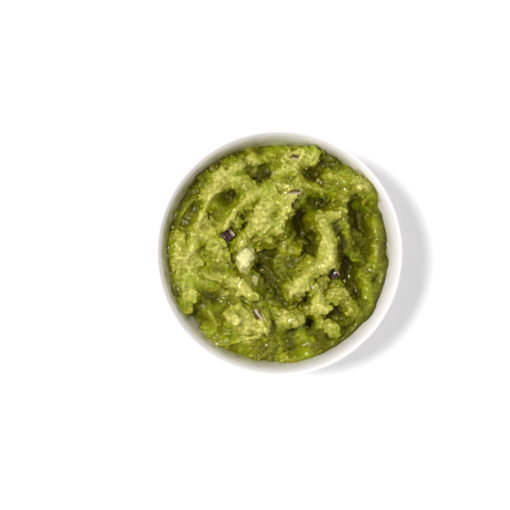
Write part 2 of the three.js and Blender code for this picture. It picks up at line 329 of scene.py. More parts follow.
# ---- Materials
class Shader:
    """A material under construction, with short ways to add and link its nodes."""

    def __init__(self, name, **settings):
        self.material = bpy.data.materials.new(name)
        self.material.use_nodes = True
        self.tree = self.material.node_tree
        self.main = self.tree.nodes["Principled BSDF"]
        for socket, value in settings.items():
            self.main.inputs[socket.replace("_", " ")].default_value = value

    def node(self, kind, **settings):
        made = self.tree.nodes.new(kind)
        for key, value in settings.items():
            if key in made.inputs:
                self.set(made.inputs[key], value)
            else:
                setattr(made, key, value)
        return made

    def set(self, socket, value):
        if isinstance(value, bpy.types.NodeSocket):
            self.tree.links.new(value, socket)
        else:
            socket.default_value = value

    def layer(self, name):
        """The values that make_piece gave every point under this name."""
        return self.node("ShaderNodeAttribute", attribute_name=name).outputs["Fac"]

    def noise(self, per_metre, detail=3.0, roughness=0.55, distortion=0.0):
        """Cloudy noise round 0.5, with about this many bumps to the metre."""
        place = self.node("ShaderNodeNewGeometry").outputs["Position"]
        made = self.node("ShaderNodeTexNoise", Vector=place, Scale=per_metre, Detail=detail,
                         Roughness=roughness, Distortion=distortion)
        return made.outputs["Fac"]

    def math(self, operation, a, b=0.0, c=0.0, clamp=False):
        made = self.node("ShaderNodeMath", operation=operation, use_clamp=clamp)
        for socket, value in zip(made.inputs, (a, b, c)):
            self.set(socket, value)
        return made.outputs[0]

    def spread(self, value, low, high, to_low=0.0, to_high=1.0):
        """Turns a value from low to high into one from to_low to to_high, eased at both ends."""
        made = self.node("ShaderNodeMapRange", interpolation_type="SMOOTHSTEP")
        for key, number in (("Value", value), ("From Min", low), ("From Max", high),
                            ("To Min", to_low), ("To Max", to_high)):
            self.set(made.inputs[key], number)
        return made.outputs[0]

    def mix(self, share, a, b):
        made = self.node("ShaderNodeMix", data_type="RGBA")
        for socket, value in zip((made.inputs[0], made.inputs[6], made.inputs[7]), (share, a, b)):
            self.set(socket, (*value, 1) if isinstance(value, tuple) else value)
        return made.outputs[2]

    def bump(self, *heights):
        """Bumps from pairs of a height and its depth in millimetres, laid one over the other."""
        normal = None
        for height, depth in heights:
            made = self.node("ShaderNodeBump", Height=height, Distance=depth * MM, Strength=1.0)
            if normal is not None:
                self.tree.links.new(normal, made.inputs["Normal"])
            normal = made.outputs[0]
        self.tree.links.new(normal, self.main.inputs["Normal"])

    def colour(self, value):
        self.set(self.main.inputs["Base Color"], value)

    def roughness(self, value):
        self.set(self.main.inputs["Roughness"], value)


# The dark olive is partly the mash's own colour and partly painted shade.
DEEP_OLIVE = (0.10, 0.096, 0.001)
MASH_GREEN = (0.23, 0.218, 0.002)
LIME_GREEN = (0.275, 0.335, 0.003)
SOFT_YELLOW = (0.40, 0.385, 0.012)
# The pale flesh is partly pale flesh and partly painted highlight.
PALE_FLESH = (0.66, 0.62, 0.19)
CREAM_FLESH = (0.76, 0.73, 0.38)
# A smear of mash on the bowl's wall, which also stands for painted shade and green light thrown back by the
# food.
SMEAR_AND_PAINTED_SHADE = (0.33, 0.325, 0.06)
LEAF_GREENS = (0.045, 0.075, 0.001), (0.09, 0.14, 0.002)
ONION_FLESH = (0.62, 0.52, 0.43), (0.52, 0.38, 0.34)
ONION_SKIN = (0.036, 0.008, 0.010), (0.085, 0.026, 0.030)
GLAZE = (0.865, 0.83, 0.84), (0.88, 0.845, 0.855)
BARE_PORCELAIN = (0.74, 0.71, 0.66)
FLOOR_WHITES = (0.98, 0.98, 0.98), (1.0, 1.0, 1.0)


def avocado_shader(name, pale_share, pale_colour):
    """Mashed avocado, from dark olive through lime and yellow to pale cream flesh, with painted shade in
    its cracks and hollows and painted highlights and glints on its crowns.
    """
    s = Shader(name, Subsurface_Weight=0.6, Subsurface_Scale=2.0 * MM, IOR=1.38, Coat_Weight=0.46,
               Coat_Roughness=0.08, Specular_Tint=(1.0, 0.97, 0.5, 1.0), Specular_IOR_Level=0.45)
    s.main.inputs["Subsurface Radius"].default_value = (1.0, 0.9, 0.2)
    body = s.mix(s.spread(s.noise(120, 3, 0.6, 0.5), 0.38, 0.64), MASH_GREEN, LIME_GREEN)
    body = s.mix(s.spread(s.noise(260, 3, 0.6, 0.4), 0.46, 0.66, 0, 0.75), body, SOFT_YELLOW)
    # Pale specks of crumbled flesh, partly painted glints.
    specks = s.spread(s.noise(760, 4, 0.65, 0.3), 0.55, 0.69, 0.0, 0.58)
    patchy = s.math("MULTIPLY", s.layer("pale"), s.spread(s.noise(600, 3, 0.6), 0.36, 0.64, 0.6, 1.45))
    pale = s.math("MULTIPLY_ADD", patchy, pale_share, specks, clamp=True)
    body = s.mix(pale, body, pale_colour)
    # The olive layer lays painted shade on the cracks, the hollows and the edge by the wall.
    s.colour(s.mix(s.layer("deep"), body, DEEP_OLIVE))
    s.roughness(s.spread(s.noise(700, 3), 0.3, 0.7, 0.18, 0.38))
    grain = s.math("MULTIPLY", s.noise(950, 4, 0.6, 0.3), s.spread(s.layer("smoothed"), 0, 1, 1.0, 0.6))
    s.bump((s.noise(2600, 3, 0.6), 0.08), (grain, 0.50))
    s.tree.links.new(s.node("ShaderNodeBump", Height=s.noise(620, 2), Distance=0.20 * MM).outputs[0],
                     s.main.inputs["Coat Normal"])
    return s.material


def onion_material():
    """Red onion: pale flesh, a purple skin streaked at random and with painted highlight streaks, and
    smears of mash.
    """
    s = Shader("red_onion", Subsurface_Weight=0.4, Subsurface_Scale=1.0 * MM, IOR=1.38,
               Coat_Weight=0.3, Coat_Roughness=0.08)
    s.main.inputs["Subsurface Radius"].default_value = (1.0, 0.7, 0.7)
    flesh = s.mix(s.spread(s.noise(1500, 3), 0.35, 0.7), *ONION_FLESH)
    skin = s.mix(s.spread(s.noise(700, 4, 0.6, 0.6), 0.38, 0.62), *ONION_SKIN)
    smears = s.math("MULTIPLY", s.layer("smeared"), s.spread(s.noise(500, 3), 0.3, 0.6), clamp=True)
    s.colour(s.mix(smears, s.mix(s.layer("skin"), flesh, skin), SOFT_YELLOW))
    s.roughness(s.spread(s.noise(900, 2), 0.3, 0.7, 0.18, 0.34))
    s.bump((s.noise(2400, 3, 0.6), 0.05))
    return s.material


def porcelain_material():
    """White glaze with a little green smeared on where the food meets it, partly a smear of mash and partly
    painted shade and green light thrown back by the food, and a bare foot.
    """
    s = Shader("glazed_porcelain", Subsurface_Weight=0.06, Subsurface_Scale=1.5 * MM, IOR=1.5,
               Coat_Weight=0.6, Coat_Roughness=0.05)
    glaze = s.mix(s.spread(s.noise(26, 3), 0.3, 0.7), *GLAZE)
    # The smear is partly real mash and partly painted shade and green light from the food.
    smeared = s.math("MULTIPLY", s.layer("smeared"), s.spread(s.noise(160, 3, 0.6), 0.3, 0.7, 0.5, 1.0))
    s.colour(s.mix(s.layer("unglazed"), s.mix(smeared, glaze, SMEAR_AND_PAINTED_SHADE), BARE_PORCELAIN))
    s.roughness(s.spread(s.layer("unglazed"), 0, 1, 0.16, 0.75))
    s.bump((s.noise(60, 3), 0.10), (s.noise(420, 2), 0.012))
    return s.material


def herb_material():
    """Flecks of dark green leaf."""
    s = Shader("coriander_leaf", IOR=1.4, Specular_IOR_Level=0.1)
    s.colour(s.mix(s.spread(s.noise(1300, 3), 0.35, 0.65), *LEAF_GREENS))
    s.roughness(s.spread(s.noise(900, 2), 0.3, 0.7, 0.3, 0.5))
    s.bump((s.noise(2600, 3), 0.05))
    return s.material


# ---- The bowl
BOWL_SEGMENTS = 224
OUT_OF_TRUE = (0.10, 2, 0.6), (0.06, 3, 2.1), (0.03, 7, 0.0)  # size, waves round the rim and start
RIM_DIP = 0.08
SMEAR_AND_SHADE_SPAN = math.radians(3)
SMEAR_AND_SHADE_HEIGHT = 4.6
PAINTED_SHADE_LOPSIDED = 0.45  # by which it reaches less high at the right and higher at the left, where the wall is in shade and more painted shade is laid on
WALL_CONTACT = 0.6  # how near the wall the heap's edge lies


def smear_and_painted_shade_of(points):
    """How thickly the mash has smeared each point of the bowl, with painted shade and green light thrown
    back by the food: most where the heap meets the inner wall.
    """
    heap = cad_points("guacamole")
    edge = heap[np.hypot(heap[:, 0], heap[:, 1]) > inner_radius(heap[:, 2]) - WALL_CONTACT]
    turns, heights = np.arctan2(edge[:, 1], edge[:, 0]), edge[:, 2]
    angle = np.arctan2(points[:, 1], points[:, 0])
    near = np.abs(np.angle(np.exp(1j * (angle[:, None] - turns)))) < SMEAR_AND_SHADE_SPAN
    top = np.where(near, heights, 0).max(1)
    inside = np.hypot(points[:, 0], points[:, 1]) < inner_radius(points[:, 2]) + 0.4
    fading = SMEAR_AND_SHADE_HEIGHT * (1 - PAINTED_SHADE_LOPSIDED * np.cos(angle))
    return np.where(inside, np.exp(-np.maximum(points[:, 2] - top, 0) / fading), 0)


def build_bowl():
    foot_inner = FOOT_RADIUS - FOOT_WIDTH
    foot = np.concatenate([
        bezier((0.0, UNDERSIDE_HEIGHT), (10.0, UNDERSIDE_HEIGHT + 0.05), (18.0, UNDERSIDE_HEIGHT + 0.1),
               (23.6, UNDERSIDE_HEIGHT), count=8),
        arc((foot_inner - FOOT_FILLET, FOOT_FILLET), FOOT_FILLET, 90, 0, 5),
        arc((foot_inner + FOOT_EDGE, FOOT_EDGE), FOOT_EDGE, 180, 270, 6),
        arc((FOOT_RADIUS - FOOT_EDGE, FOOT_EDGE), FOOT_EDGE, 270, 360, 6),
        arc((FOOT_RADIUS + FOOT_FILLET, FOOT_HEIGHT - FOOT_FILLET), FOOT_FILLET, 180, 100, 5)])
    crest = lip_middle + (LIP_CREST, LIP_RADIUS)
    wall_top = inner_face[FLARE_ROWS]
    lip = np.concatenate([
        bezier(lip_outer, lip_outer - 1.0 * wall_down, crest + (0.45, 0), crest, count=10)[1:],
        bezier(crest, crest - (1.1, 0), wall_top - 3.0 * wall_down, wall_top, count=18)[1:-1]])
    floor = bezier(*((radius, FLOOR_HEIGHT) for radius in (FLOOR_RADIUS, 14.0, 6.0, 0.0)), count=6)[1:]
    profile = np.concatenate([foot, outer_face[1:], lip, inner_face[FLARE_ROWS:], floor])
    turn = 2 * math.pi * np.arange(BOWL_SEGMENTS) / BOWL_SEGMENTS
    ring = profile[1:-1]
    # A thrown and glazed bowl is a little out of true, more towards the lip.
    lift = (ring[:, 1] / RIM_HEIGHT)[:, None]
    wander = sum(size * np.sin(waves * turn + start) for size, waves, start in OUT_OF_TRUE)
    radius = ring[:, 0][:, None] + wander * lift
    height = ring[:, 1][:, None] + RIM_DIP * np.sin(2 * turn + 1.9) * lift**3
    points = np.stack([radius * np.cos(turn), radius * np.sin(turn), height * np.ones_like(radius)], 2)
    rows = len(ring)
    points = np.concatenate([[[0, 0, profile[0, 1]]], points.reshape(-1, 3), [[0, 0, profile[-1, 1]]]])
    index = 1 + np.arange(rows * BOWL_SEGMENTS).reshape(rows, BOWL_SEGMENTS)
    ahead = np.roll(index, -1, axis=1)
    faces = list(np.stack([index[:-1], ahead[:-1], ahead[1:], index[1:]], 2).reshape(-1, 4))
    last = len(points) - 1
    faces += [[0, ahead[0, k], index[0, k]] for k in range(BOWL_SEGMENTS)]
    faces += [[last, index[-1, k], ahead[-1, k]] for k in range(BOWL_SEGMENTS)]
    unglazed = np.clip((0.5 - points[:, 2]) / 0.4, 0, 1)
    make_piece("porcelain_bowl", points, faces, "porcelain", porcelain_material(), ["bowl"],
               unglazed=unglazed, smeared=smear_and_painted_shade_of(points))


# ---- The guacamole. Its parts lie on the CAD heap: places are X and Y, and a lift is above its surface.
STEP = 0.45  # between the grid's points
REACH = RIM_RADIUS - 2  # of the grid, each way from the middle
FOOD_LOW = 12.0
FOOD_HIGH = RIM_HEIGHT + 11
WALL_TOP = RIM_HEIGHT - 2  # above which nothing holds the food in
INTO_WALL = 0.45  # by which the food reaches into the bowl's wall
SKIN_DEPTH = 5.5  # of the mash's surface that is kept, below which a plain fan closes it
MASH_TRIANGLES = 190000
EDGE_DROP = 0.8  # by which the heap's edge is rounded down at the wall
EDGE_ROUND = 5.0  # how far from the wall that rounding starts
LUMP_BLEND = 1.8
CHUNK_BLEND = 1.6
CHUNK_BED = 0.12  # how far the mash that holds a chunk lies below it, in half thicknesses
CHUNK_BED_SPREAD = 1.02
# Lumps scattered by chance: how many, least and most radius, depth below the surface in radii, blend, share
# that are dents, and share that keeps off the smooth areas.
SCATTERED = [(130, 2.2, 4.0, 0.8, 2.0, 0.08, 0.7), (650, 1.0, 1.9, 0.72, 0.9, 0.1, 0.75),
             (5000, 0.5, 0.95, 0.35, 0.4, 0.0, 0.9)]
LUMP_SHAPE = 0.55, 1.5  # least and most that each radius of a scattered lump is of its size
DENT_RISE = 0.6  # of a dent's middle above the surface, in radii
FINE_RELIEF = (0.20, 3.4), (0.24, 1.9), (0.26, 1.1)  # depth and size
SMOOTHING = 0.75  # by which the smooth areas have less fine relief
# How many grid steps the blurs reach that tell a lump's crown from its foot.
SWELL_REACH = 12
COARSE_REACH = 9
NEAR_REACH = 3
WALL_SHADE = 2.2  # how far the painted shade on the mash reaches from the wall

# Folds that the spoon left, and valleys where the height is below zero: path, height and reach aside.
FOLDS = [
    ([(-41.6, 1), (-41, 8), (-38.6, 16), (-35.4, 22), (-32.4, 28)], 2.1, 1.9),
    ([(-35.8, 26.8), (-29.8, 34.8), (-20.8, 37.8)], 1.6, 5.0),
    ([(-25.8, 10.8), (-20.8, 18.8), (-15.8, 24.8), (-8.8, 29.8), (-1.8, 33.8)], 1.9, 3.6),
    ([(-7.8, 13.8), (-6.8, 21.8)], 1.2, 4.0),
    ([(-0.8, 11.8), (0.2, 19.8), (2.2, 27.8), (6.2, 32.8), (10.2, 30.8)], 1.6, 4.0),
    ([(23.2, 13.8), (25.7, 8.8), (26.2, 1.8), (26.2, -5.2), (23.2, -9.2)], 1.8, 3.0),
    ([(21.2, -10.2), (14.2, -13.2), (9.2, -18.2)], 1.4, 4.0),
    ([(25.2, 37.8), (33.2, 38.8), (41.2, 32.8), (47.2, 25.8)], 1.2, 4.5),
    ([(32.2, 21.8), (27.2, 17.8)], 1.4, 3.0), ([(-15.8, 3.8), (-13.8, -14.2)], 1.6, 4.0),
    ([(-20.8, -30.2), (-8.8, -36.2)], 2.2, 6.0), ([(-18.8, -16.2), (-10.8, -22.2)], 1.2, 3.5),
    ([(-45.8, 2.8), (-42.8, -10.2)], 1.2, 4.0), ([(3.2, -30.2), (13.2, -31.2)], 1.8, 3.2),
    ([(19.2, -17.2), (21.2, -27.2)], 1.2, 3.5), ([(45.2, 19.8), (48.2, 7.8), (48.2, -3.2)], 0.6, 3.5),
    ([(-34.8, -8.7), (-28.8, -10.7), (-23.8, -15.2)], 1.2, 1.8),
    ([(45.2, -9.2), (42.7, -14.2), (39.2, -16.2)], 1.4, 2.2),
    ([(-33.8, -28.2), (-30.8, -33.2), (-28.3, -38.2)], 1.2, 1.3),
    ([(-29.3, -26.2), (-26.8, -31.2), (-24.3, -35.2)], 0.8, 1.2),
    ([(14, 22.6), (15.5, 15.6), (16, 7.6), (17.5, 0.6)], -1.7, 3.0),
    ([(31.5, 11.6), (34.5, 3.6), (37, -4.4), (38, -11.4), (37, -16.4)], -1.4, 4.4),
    ([(41.5, 26.6), (43, 17.6), (43, 8.6)], -1.3, 4.2),
    ([(16, 37.6), (21, 36.1), (25, 32.6), (25.5, 28)], -1.0, 3.2), ([(-14, 40), (-8, 38)], 0.6, 3.0),
    ([(-10, 37.5), (-5, 36)], 2.2, 3.2), ([(15.5, 43), (20, 42)], 1.3, 2.6),
    ([(-27, 25), (-24, 28)], 1.9, 3.2), ([(-31, 16), (-29, 23)], 1.6, 3.2),
    ([(-13, 13), (-12, 20)], 1.0, 3.0), ([(-39, -18), (-38, -23)], 1.0, 2.5),
    ([(-7, -4.4), (-3, -10.4), (0, -18.4), (2, -23.4)], -1.6, 4.5),
    ([(-8, 0.6), (-1, -0.4), (5, -1.4)], -1.0, 3.0),
    ([(-36, -17.4), (-32, -22.4), (-26, -25.4)], -0.9, 4.5), ([(15, -35.4), (18, -31.4)], -1.2, 2.4),
    ([(4, -42.4), (14, -44.4), (24, -42.4), (32, -36.4)], -1.3, 4.5),
    ([(42, -26.4), (39, -21.4)], -1.2, 2.5), ([(44, 11.6), (45, 5.6)], -1.2, 2.5),
    ([(-45, 16.6), (-41, 22.6)], -1.0, 3.0), ([(24, 47.6), (30, 43.6)], -1.2, 3.4),
    ([(19, 2.6), (20, 9.6)], -0.8, 2.4),
    ([(52.8 * math.sin(turn), -52.8 * math.cos(turn)) for turn in np.radians(range(3, 90, 8))], 3.6, 3.4),
    ([(10, 52), (27, 46)], 2.6, 3.0), ([(-53, -12), (-54, 0), (-52, 14), (-47, 27), (-38, 38)], -2.2, 2.2),
    ([(5, 22), (6.5, 17), (7.5, 11)], 3.4, 3.1), ([(14.5, 20), (16, 13), (17.5, 6)], -1.0, 2.2),
    ([(33.5, 25), (35.5, 14)], 2.6, 2.8), ([(-14, 37), (-11, 41)], 1.8, 2.8),
    ([(-30, 24), (-29, 28.5), (-26, 32)], 2.6, 3.2), ([(-37, -14), (-33, -17)], 1.5, 2.6),
    ([(-24, -20), (-20, -22)], 1.4, 2.8), ([(28, -1), (29.5, -6)], 1.6, 2.4),
    ([(-19, -42), (-14, -42)], 1.2, 3.0), ([(25, -12), (21.5, -16)], 2.4, 2.6),
    ([(18, 26.5), (15, 23)], 2.2, 3.0), ([(26, 0), (28.5, -5)], 1.2, 2.2),
    ([(22, -27), (27, -27)], 1.0, 2.6), ([(40, -2), (40.5, -10)], -1.0, 3.2),
    ([(15, 24), (25, 24)], 1.0, 2.2), ([(-16.5, 13), (-14, 19)], 1.3, 2.0),
    ([(-24, 9.5), (-21, 12.5)], 1.2, 2.2), ([(28, 1), (29, 7)], 0.8, 2.0),
    ([(-39, -3), (-38.5, 7)], 0.7, 2.2), ([(-37, -16), (-33, -18)], 1.2, 2.6),
    ([(-39, -24), (-36, -26)], -1.0, 2.0), ([(8, -20), (12.5, -18.5)], 1.3, 2.2),
    ([(48, 26), (50.5, 18), (52, 9)], 1.8, 2.4), ([(30, 9), (31, 3)], 1.0, 2.4),
]

# Broken or overhanging edges of folds, with the high side on the left of the path: path, half the drop,
# and how far the rise reaches on the high side and the drop on the low side.
LEDGES = [
    ([(3, -23), (7, -23.5), (12, -22.5), (14.5, -20), (15.2, -17), (17, -14), (20, -11), (25, -9.5)],
     1.5, 2.0, 1.6),
    ([(-1, -37.5), (5, -37), (10, -35.5), (14, -32.5)], 2.0, 2.0, 1.8),
    ([(-44, 14), (-44.5, 7), (-43.5, 0)], 1.0, 1.5, 1.4),
    ([(-39, 11), (-38, 12.5), (-35, 16), (-33, 20)], 0.8, 1.4, 1.4),
    ([(-48.5, 16), (-44, 22), (-40, 27)], 0.8, 1.5, 1.8),
    ([(2.5, 7), (3, 15), (6, 22), (9, 27), (9, 32)], 1.4, 2.0, 2.0),
    ([(28, -8), (28.5, 0), (28, 8), (25, 15)], 1.3, 2.0, 2.0),
    ([(31, -37), (36.5, -33.5), (38.5, -29.5), (42, -24)], 1.2, 1.6, 1.4),
    ([(-26, -46), (-16, -42.5), (-7, -41)], 1.0, 1.8, 1.4),
    ([(-6, 33), (-12, 34), (-17, 38)], 0.6, 2.0, 1.8),
    ([(-37, -12), (-30, -13.5), (-24, -17.5)], 0.8, 1.5, 1.5),
    ([(-4, -24), (-7, -14), (-10, -6), (-10.5, 3)], 0.8, 2.4, 2.4),
    ([(-20, 14), (-16, 19), (-10, 24)], 0.5, 1.5, 1.4),
    ([(-12, 29), (-20, 23.5), (-25, 17), (-27, 12)], 0.9, 1.5, 1.2),
    ([(33, -1), (38, -6), (43, -6)], 0.8, 1.6, 1.4),
]

# Lumps of softer avocado: X, Y, lift, three radii and turn about Z in degrees.
LUMPS = [
    (-47, 6, -0.8, 5.2, 2.6, 2.4, 82), (-46, -3, -0.8, 3.8, 3.0, 2.4, 60),
    (-40, -6, -0.8, 3.6, 2.8, 2.2, 20), (-35, 10, -0.8, 3.4, 2.6, 2.2, 60),
    (-32, 1, -0.8, 3.2, 2.8, 2.0, 10), (-36, 36, -1.0, 3.6, 3.0, 2.2, 40),
    (-28, 38, -0.8, 4.4, 3.4, 2.4, 30), (-20, 42, -1.0, 4.0, 2.6, 2.2, 20),
    (-12, 45, -1.0, 3.4, 2.6, 2.0, 0), (-24, 33, -0.8, 3.0, 2.4, 2.0, 60),
    (-9, 20, -1.0, 3.4, 2.6, 2.0, 70), (-13, 12, -1.0, 3.2, 3.0, 2.2, 50),
    (-6, 26, -1.0, 3.2, 2.4, 2.0, 40), (6, 41, -0.8, 3.6, 2.2, 1.8, 0), (0, 39, -0.8, 3.0, 2.0, 1.8, 0),
    (9, 48, -0.8, 3.4, 2.2, 1.8, 10), (16.5, 46, -0.6, 3.6, 3.2, 2.4, 80),
    (3, 46, -0.8, 2.8, 2.2, 1.8, 30), (19, 11.5, -0.8, 2.2, 2.0, 2.0, 0),
    (19.5, 6.5, -0.8, 2.0, 1.8, 1.8, 0), (21, 1, -0.8, 2.4, 2.0, 1.8, 0),
    (27, 18, -0.8, 4.0, 2.4, 2.0, 20), (31, 22.5, -0.8, 2.8, 2.2, 2.0, 0),
    (28, 32, -0.8, 4.0, 3.0, 2.2, 20), (40, 31, -0.8, 3.4, 3.0, 2.2, 50), (35, 30, -0.8, 2.8, 2.4, 2.0, 0),
    (5, 6, -0.8, 3.4, 2.4, 2.0, 50), (9, 1, -0.8, 3.2, 2.6, 2.2, 20), (3, 0, -1.0, 3.0, 2.2, 1.8, 80),
    (13, 5, -0.8, 2.4, 2.2, 2.0, 0), (13, -5, -1.0, 3.2, 2.4, 1.8, 60), (16, -3, -0.8, 2.6, 2.2, 1.8, 0),
    (-23, -12.5, -0.6, 2.8, 2.2, 1.8, 20), (-20, -15.5, -0.8, 4.8, 2.6, 2.0, -30),
    (-14.5, -20, -0.8, 4.8, 2.8, 2.0, -38), (-30, -5, -0.8, 3.6, 2.2, 1.8, 10),
    (-21, -30, -0.8, 4.2, 3.4, 2.4, 60), (-15, -36, -0.6, 4.6, 3.4, 2.4, 10),
    (-19, -37, -0.8, 3.4, 2.8, 2.2, 0), (-10, -37, -0.8, 3.2, 2.4, 2.0, 0),
    (-29, -44, -0.6, 3.6, 2.0, 1.8, -20), (-16, -47, -0.8, 4.6, 2.4, 1.8, -8),
    (-4, -45, -0.8, 3.2, 2.6, 1.8, 0), (11.5, -41, -0.4, 2.6, 2.2, 2.0, 0),
    (1, -44, -0.8, 2.6, 2.2, 1.8, 0), (16, -44, -0.8, 2.8, 2.0, 1.6, 60),
    (27, -42, -0.8, 3.4, 2.2, 1.6, 40), (18, -17, -0.6, 2.8, 2.2, 1.8, 30),
    (22, -14, -0.6, 2.4, 1.9, 1.6, 0), (19, -23, -0.6, 3.2, 2.8, 2.4, 40),
    (22, -27.5, -0.6, 3.0, 2.4, 2.0, 10), (16, -28, -0.8, 2.8, 2.2, 1.8, 0),
    (25, -22, -0.8, 2.6, 2.2, 1.8, 70), (34, -27, -0.4, 3.2, 2.6, 2.0, 30),
    (43, -20, -1.3, 5.0, 2.8, 2.0, 75), (40, -2.5, -0.4, 3.0, 2.8, 1.8, 0),
    (-4, 4, -1.0, 3.2, 2.6, 2.0, 0), (-9, 3, -1.0, 2.8, 2.2, 1.8, 60),
    (-21.5, 14, -0.6, 4.6, 3.2, 2.2, 40), (-26, -0.5, -0.8, 2.8, 2.4, 2.0, 0),
    (-22, 1.5, -0.8, 2.4, 1.8, 1.6, 60), (-16.5, 16.5, -1.2, 3.0, 2.2, 2.0, 45),
    (-24.5, -6, -1.0, 2.6, 2.0, 1.8, 80),
]

# These pieces of onion lie with their pale inner side up, half sunk in the mash.
INNER_SIDE_UP = ("onion_piece_6", "onion_piece_7")
DICE = ("onion_piece_1", "onion_piece_2")
# The share of a piece's half sizes over which the mash above it is taken away.
DICE_BARE = 1.12
SLIVER_BARE = 0.6
RAISED_BARE = 0.94
# Chunks that stand higher and lie open on the mash, how far each is moved, and how much larger it is.
RAISED = {"avocado_chunk_1": (-0.3, 0.8, 0.8)}
RAISED_SPREAD = 1.16

# Round areas where the spoon smeared the mash flat, and where it is paler or darker, partly in its own
# colour and partly as painted highlight and painted shade: X and Y by radius.
SMOOTH_AREAS = {
    4: [(-41, 5), (-39, 13), (-35, 22), (-32, 27), (-23, 13), (-19, 19), (-14, 25)],
    5: [(-26, 10), (-6, -9), (17, 38)],
    6: [(-44, 19), (-30, -36), (-27, 22), (-16, -18), (-16, -3), (38, 18), (44, -4), (47, 25), (48, 36),
        (50, 0)],
    7: [(-34, -22), (-20, -47), (12, 12), (34, -9), (42, -20)],
    8: [(28, -46), (38, -38), (46, -27), (48, 12), (51, -12)],
    12: [(15, -47)],
}
PALE_AND_PAINTED_LIGHT_AREAS = {
    3: [(-35, -15), (-21, 9), (12, -19), (23, -18), (25, -34), (30, -2)],
    4: [(-36, 14), (-33, 16), (-30, -11), (-27, 2), (-24, 11), (-14, -13), (-13, 1), (18, 43), (22, -35),
        (22, -14), (24, -27), (33, 22), (34, 19)],
    5: [(-46, 5), (-44, -19), (-41, 2), (-28, 31), (-27, 33), (-24, -21), (-22, -23), (-22, 13),
        (-17, -42), (-12, 42), (-8, -30), (5, 17), (18, -25), (23, -6), (28, -20)],
    6: [(-12, -37), (-12, 28), (5, -31), (8, 46), (10, -16), (24, 3), (40, 35)],
    7: [(-43, -3), (-31, 30), (-16, -4), (5, 33)],
    8: [(-44, -4), (-35, 12), (-28, 37), (-18, -18)],
    10: [(-16, -33), (-8, 18)],
}
DARK_AND_PAINTED_SHADE_AREAS = {
    2: [(16, -17)],
    3: [(-38, -25), (-30, -8), (-29, -30), (-24, 28), (7, -22), (7, -12), (15, -33), (24, -31), (31, 12),
        (40, 28)],
    4: [(-37, 35), (-36, -31), (-31, -8), (-22, -44), (-9, 49), (-7, 36), (5, -37), (5, -12), (5, -5),
        (15, 18), (22, 30), (22, 31), (22, 32), (30, -27), (33, 35), (34, 34), (37, -21)],
    5: [(-50, -19), (-50, 14), (-47, 16), (-42, 29), (-41, 36), (-38, -27), (-34, -23), (-21, 49),
        (6, -44), (14, 3), (19, 36), (28, 33), (31, 5), (38, 4), (43, -22), (51, -14)],
    6: [(-31, 46), (-5, -48), (-3, -3), (-1, -19), (26, 45), (37, -12), (44, 15), (45, 14), (46, 0),
        (47, 17), (48, -14), (49, -20), (50, -24), (51, -5)],
    7: [(-46, 24), (-38, 41), (12, 13), (30, -46), (34, -8), (38, 17), (42, -30), (42, -5), (44, -30)],
    8: [(-50, 30), (36, -39), (39, -38), (46, -38), (49, 6)],
    9: [(-5, -10), (22, -43)],
}


def coverage(areas, x, y):
    """How far a place lies inside any of some round areas, from 0 to 1, fading at their edges."""
    total = np.zeros(np.broadcast(x, y).shape)
    for radius, middles in areas.items():
        for middle_x, middle_y in middles:
            away = ((x - middle_x) ** 2 + (y - middle_y) ** 2) / radius**2
            total = np.maximum(total, np.exp(-(away**1.5)))
    return total


def height_map(xs, ys):
    """The CAD heap's height over a grid, with its facets smoothed and carried on past its edge."""
    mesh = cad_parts["guacamole"].data
    tree = BVHTree.FromPolygons([v.co / MM for v in mesh.vertices],
                                [tuple(face.vertices) for face in mesh.polygons])
    heights = np.full((len(xs), len(ys)), np.nan)
    for i, x in enumerate(xs):
        for j, y in enumerate(ys):
            hit = tree.ray_cast(Vector((x, y, 2 * RIM_HEIGHT)), Vector((0, 0, -1)))[0]
            if hit is not None:
                heights[i, j] = hit.z
    while np.isnan(heights).any():
        padded = np.pad(heights, 1, constant_values=np.nan)
        near = np.stack([padded[1 + a:padded.shape[0] - 1 + a, 1 + b:padded.shape[1] - 1 + b]
                         for a in (-1, 0, 1) for b in (-1, 0, 1)])
        known = ~np.isnan(near)
        mean = np.where(known, near, 0).sum(0) / np.maximum(known.sum(0), 1)
        fill = np.isnan(heights) & known.any(0)
        heights[fill] = mean[fill]
    for _ in range(2):
        heights = box_blur(heights.astype(np.float32), 2)
    return heights


def along_path(path, x, y):
    """How far places lie from a path, on which side of it, and how far along it from 0 to 1."""
    gap, side, share = np.full(x.shape, np.inf), np.zeros(x.shape), np.zeros(x.shape)
    lengths = [math.dist(a, b) for a, b in zip(path, path[1:])]
    done = 0.0
    for (x0, y0), (x1, y1), length in zip(path, path[1:], lengths):
        ux, uy = (x1 - x0) / length, (y1 - y0) / length
        t = np.clip((x - x0) * ux + (y - y0) * uy, 0, length)
        away_x, away_y = x - x0 - t * ux, y - y0 - t * uy
        distance = np.hypot(away_x, away_y)
        nearer = distance < gap
        gap = np.where(nearer, distance, gap)
        side = np.where(nearer, np.sign(ux * away_y - uy * away_x), side)
        share = np.where(nearer, (done + t) / sum(lengths), share)
        done += length
    return gap, side, share


def spoon_relief(x, y):
    """How far the folds and ledges stand above the CAD heap."""
    rise = np.zeros(x.shape)
    for path, height, width in FOLDS:
        rise += height * np.exp(-(along_path(path, x, y)[0] / width) ** 2)
    for path, height, high_reach, low_reach in LEDGES:
        gap, side, share = along_path(path, x, y)
        fading = height * (1 - np.abs(2 * share - 1) ** 4)
        rise += fading * np.where(side > 0, np.exp(-gap / high_reach), -np.exp(-gap / low_reach))
    return rise


def turned(degrees, axis=2):
    """A rotation about Z, or about X as axis 0 or Y as axis 1, as a 3 by 3 matrix."""
    angle = math.radians(degrees)
    a, b = (axis + 1) % 3, (axis + 2) % 3
    matrix = np.eye(3)
    matrix[a, a] = matrix[b, b] = math.cos(angle)
    matrix[b, a], matrix[a, b] = math.sin(angle), -math.sin(angle)
    return matrix


